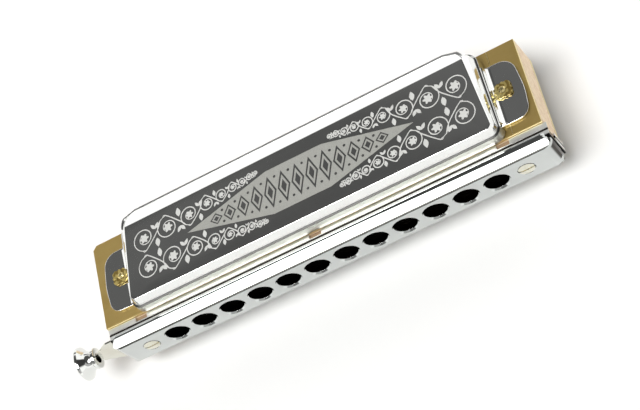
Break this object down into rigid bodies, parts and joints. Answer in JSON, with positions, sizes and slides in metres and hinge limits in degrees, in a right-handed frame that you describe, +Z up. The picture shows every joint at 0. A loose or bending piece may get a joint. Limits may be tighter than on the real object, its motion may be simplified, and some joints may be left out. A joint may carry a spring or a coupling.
{
  "type": "chromatic harmonica",
  "caption": "Slide chromatic harmonica: wooden comb, brass reed plates, engraved steel covers, round-hole mouthpiece and a sprung push button at one end.",
  "frame": {"origin": "a point on the flat outer face of the lower cover, which the harmonica rests on, below the middle of the row of holes", "axes": "+X runs along the harmonica away from the slide button, +Y from the mouthpiece to the open back, +Z up"},
  "size_m": [0.1528, 0.0376, 0.0266],
  "materials": {
    "pearwood": "fine-grained pearwood, oiled",
    "plate_brass": "rolled brass, satin",
    "cover_steel": "polished stainless sheet",
    "mouthpiece_chrome": "bright plating",
    "cage_steel": "plated sheet",
    "slide_brass": "nickelled brass, worn",
    "back_plate_brass": "rolled brass",
    "button_chrome": "bright plating",
    "spring_steel": "drawn spring wire",
    "reed_brass": "milled reed brass",
    "rubber": "moulded rubber",
    "screw_nickel": "nickelled, slightly yellowed",
    "nail_brass": "bright brass",
    "rosette_brass": "stamped brass"
  },
  "bodies": {
    "frame": {"comb": "pearwood", "upper_reed_plate": "plate_brass", "lower_reed_plate": "plate_brass", "upper_cover": "cover_steel", "lower_cover": "cover_steel", "mouthpiece": "mouthpiece_chrome", "slide_cage": "cage_steel", "back_plate": "back_plate_brass", "slide_spring": "spring_steel", "end_bumper": "rubber", "screw_bumper": "rubber", "left_mouthpiece_screw": "screw_nickel", "right_mouthpiece_screw": "screw_nickel", "upper_left_rosette": "rosette_brass", "upper_left_cover_nail": "nail_brass", "upper_left_rear_plate_nail": "nail_brass", "upper_left_front_plate_nail": "nail_brass", "upper_right_rosette": "rosette_brass", "upper_right_cover_nail": "nail_brass", "upper_right_rear_plate_nail": "nail_brass", "upper_right_front_plate_nail": "nail_brass", "lower_left_rosette": "rosette_brass", "lower_left_cover_nail": "nail_brass", "lower_left_rear_plate_nail": "nail_brass", "lower_left_front_plate_nail": "nail_brass", "lower_right_rosette": "rosette_brass", "lower_right_cover_nail": "nail_brass", "lower_right_rear_plate_nail": "nail_brass", "lower_right_front_plate_nail": "nail_brass"},
    "slide": {"slide": "slide_brass", "slide_button": "button_chrome"},
    "upper_reed_01": {"upper_reed_01": "reed_brass"},
    "upper_reed_02": {"upper_reed_02": "reed_brass"},
    "upper_reed_03": {"upper_reed_03": "reed_brass"},
    "upper_reed_04": {"upper_reed_04": "reed_brass"},
    "upper_reed_05": {"upper_reed_05": "reed_brass"},
    "upper_reed_06": {"upper_reed_06": "reed_brass"},
    "upper_reed_07": {"upper_reed_07": "reed_brass"},
    "upper_reed_08": {"upper_reed_08": "reed_brass"},
    "upper_reed_09": {"upper_reed_09": "reed_brass"},
    "upper_reed_10": {"upper_reed_10": "reed_brass"},
    "upper_reed_11": {"upper_reed_11": "reed_brass"},
    "upper_reed_12": {"upper_reed_12": "reed_brass"},
    "lower_reed_01": {"lower_reed_01": "reed_brass"},
    "lower_reed_02": {"lower_reed_02": "reed_brass"},
    "lower_reed_03": {"lower_reed_03": "reed_brass"},
    "lower_reed_04": {"lower_reed_04": "reed_brass"},
    "lower_reed_05": {"lower_reed_05": "reed_brass"},
    "lower_reed_06": {"lower_reed_06": "reed_brass"},
    "lower_reed_07": {"lower_reed_07": "reed_brass"},
    "lower_reed_08": {"lower_reed_08": "reed_brass"},
    "lower_reed_09": {"lower_reed_09": "reed_brass"},
    "lower_reed_10": {"lower_reed_10": "reed_brass"},
    "lower_reed_11": {"lower_reed_11": "reed_brass"},
    "lower_reed_12": {"lower_reed_12": "reed_brass"}
  },
  "joints": [
    {"name": "slide_travel", "type": "slide", "parent": "frame", "child": "slide", "axis": [1, 0, 0], "range_m": [0, 0.0046], "stiffness_N_per_m": 250, "springref_m": -0.003, "deforming": ["slide_spring"]},
    {"name": "upper_reed_01_flex", "type": "hinge", "parent": "frame", "child": "upper_reed_01", "pos_m": [-0.0484, -0.00535, 0.02025], "axis": [1, 0, 0], "range_deg": [-1.5, 1.5], "stiffness_Nm_per_rad": 0.006},
    {"name": "upper_reed_02_flex", "type": "hinge", "parent": "frame", "child": "upper_reed_02", "pos_m": [-0.0392, -0.00535, 0.02025], "axis": [1, 0, 0], "range_deg": [-1.5, 1.5], "stiffness_Nm_per_rad": 0.006},
    {"name": "upper_reed_03_flex", "type": "hinge", "parent": "frame", "child": "upper_reed_03", "pos_m": [-0.03, -0.00535, 0.02025], "axis": [1, 0, 0], "range_deg": [-1.5, 1.5], "stiffness_Nm_per_rad": 0.006},
    {"name": "upper_reed_04_flex", "type": "hinge", "parent": "frame", "child": "upper_reed_04", "pos_m": [-0.0208, -0.00535, 0.02025], "axis": [1, 0, 0], "range_deg": [-1.5, 1.5], "stiffness_Nm_per_rad": 0.006},
    {"name": "upper_reed_05_flex", "type": "hinge", "parent": "frame", "child": "upper_reed_05", "pos_m": [-0.0116, -0.00535, 0.02025], "axis": [1, 0, 0], "range_deg": [-1.5, 1.5], "stiffness_Nm_per_rad": 0.006},
    {"name": "upper_reed_06_flex", "type": "hinge", "parent": "frame", "child": "upper_reed_06", "pos_m": [-0.0024, -0.00535, 0.02025], "axis": [1, 0, 0], "range_deg": [-1.5, 1.5], "stiffness_Nm_per_rad": 0.006},
    {"name": "upper_reed_07_flex", "type": "hinge", "parent": "frame", "child": "upper_reed_07", "pos_m": [0.0068, -0.00535, 0.02025], "axis": [1, 0, 0], "range_deg": [-1.5, 1.5], "stiffness_Nm_per_rad": 0.006},
    {"name": "upper_reed_08_flex", "type": "hinge", "parent": "frame", "child": "upper_reed_08", "pos_m": [0.016, -0.00535, 0.02025], "axis": [1, 0, 0], "range_deg": [-1.5, 1.5], "stiffness_Nm_per_rad": 0.006},
    {"name": "upper_reed_09_flex", "type": "hinge", "parent": "frame", "child": "upper_reed_09", "pos_m": [0.0252, -0.00535, 0.02025], "axis": [1, 0, 0], "range_deg": [-1.5, 1.5], "stiffness_Nm_per_rad": 0.006},
    {"name": "upper_reed_10_flex", "type": "hinge", "parent": "frame", "child": "upper_reed_10", "pos_m": [0.0344, -0.00535, 0.02025], "axis": [1, 0, 0], "range_deg": [-1.5, 1.5], "stiffness_Nm_per_rad": 0.006},
    {"name": "upper_reed_11_flex", "type": "hinge", "parent": "frame", "child": "upper_reed_11", "pos_m": [0.0436, -0.00535, 0.02025], "axis": [1, 0, 0], "range_deg": [-1.5, 1.5], "stiffness_Nm_per_rad": 0.006},
    {"name": "upper_reed_12_flex", "type": "hinge", "parent": "frame", "child": "upper_reed_12", "pos_m": [0.0528, -0.00535, 0.02025], "axis": [1, 0, 0], "range_deg": [-1.5, 1.5], "stiffness_Nm_per_rad": 0.006},
    {"name": "lower_reed_01_flex", "type": "hinge", "parent": "frame", "child": "lower_reed_01", "pos_m": [-0.0484, -0.00535, 0.00635], "axis": [1, 0, 0], "range_deg": [-1.5, 1.5], "stiffness_Nm_per_rad": 0.006},
    {"name": "lower_reed_02_flex", "type": "hinge", "parent": "frame", "child": "lower_reed_02", "pos_m": [-0.0392, -0.00535, 0.00635], "axis": [1, 0, 0], "range_deg": [-1.5, 1.5], "stiffness_Nm_per_rad": 0.006},
    {"name": "lower_reed_03_flex", "type": "hinge", "parent": "frame", "child": "lower_reed_03", "pos_m": [-0.03, -0.00535, 0.00635], "axis": [1, 0, 0], "range_deg": [-1.5, 1.5], "stiffness_Nm_per_rad": 0.006},
    {"name": "lower_reed_04_flex", "type": "hinge", "parent": "frame", "child": "lower_reed_04", "pos_m": [-0.0208, -0.00535, 0.00635], "axis": [1, 0, 0], "range_deg": [-1.5, 1.5], "stiffness_Nm_per_rad": 0.006},
    {"name": "lower_reed_05_flex", "type": "hinge", "parent": "frame", "child": "lower_reed_05", "pos_m": [-0.0116, -0.00535, 0.00635], "axis": [1, 0, 0], "range_deg": [-1.5, 1.5], "stiffness_Nm_per_rad": 0.006},
    {"name": "lower_reed_06_flex", "type": "hinge", "parent": "frame", "child": "lower_reed_06", "pos_m": [-0.0024, -0.00535, 0.00635], "axis": [1, 0, 0], "range_deg": [-1.5, 1.5], "stiffness_Nm_per_rad": 0.006},
    {"name": "lower_reed_07_flex", "type": "hinge", "parent": "frame", "child": "lower_reed_07", "pos_m": [0.0068, -0.00535, 0.00635], "axis": [1, 0, 0], "range_deg": [-1.5, 1.5], "stiffness_Nm_per_rad": 0.006},
    {"name": "lower_reed_08_flex", "type": "hinge", "parent": "frame", "child": "lower_reed_08", "pos_m": [0.016, -0.00535, 0.00635], "axis": [1, 0, 0], "range_deg": [-1.5, 1.5], "stiffness_Nm_per_rad": 0.006},
    {"name": "lower_reed_09_flex", "type": "hinge", "parent": "frame", "child": "lower_reed_09", "pos_m": [0.0252, -0.00535, 0.00635], "axis": [1, 0, 0], "range_deg": [-1.5, 1.5], "stiffness_Nm_per_rad": 0.006},
    {"name": "lower_reed_10_flex", "type": "hinge", "parent": "frame", "child": "lower_reed_10", "pos_m": [0.0344, -0.00535, 0.00635], "axis": [1, 0, 0], "range_deg": [-1.5, 1.5], "stiffness_Nm_per_rad": 0.006},
    {"name": "lower_reed_11_flex", "type": "hinge", "parent": "frame", "child": "lower_reed_11", "pos_m": [0.0436, -0.00535, 0.00635], "axis": [1, 0, 0], "range_deg": [-1.5, 1.5], "stiffness_Nm_per_rad": 0.006},
    {"name": "lower_reed_12_flex", "type": "hinge", "parent": "frame", "child": "lower_reed_12", "pos_m": [0.0528, -0.00535, 0.00635], "axis": [1, 0, 0], "range_deg": [-1.5, 1.5], "stiffness_Nm_per_rad": 0.006}
  ]
}
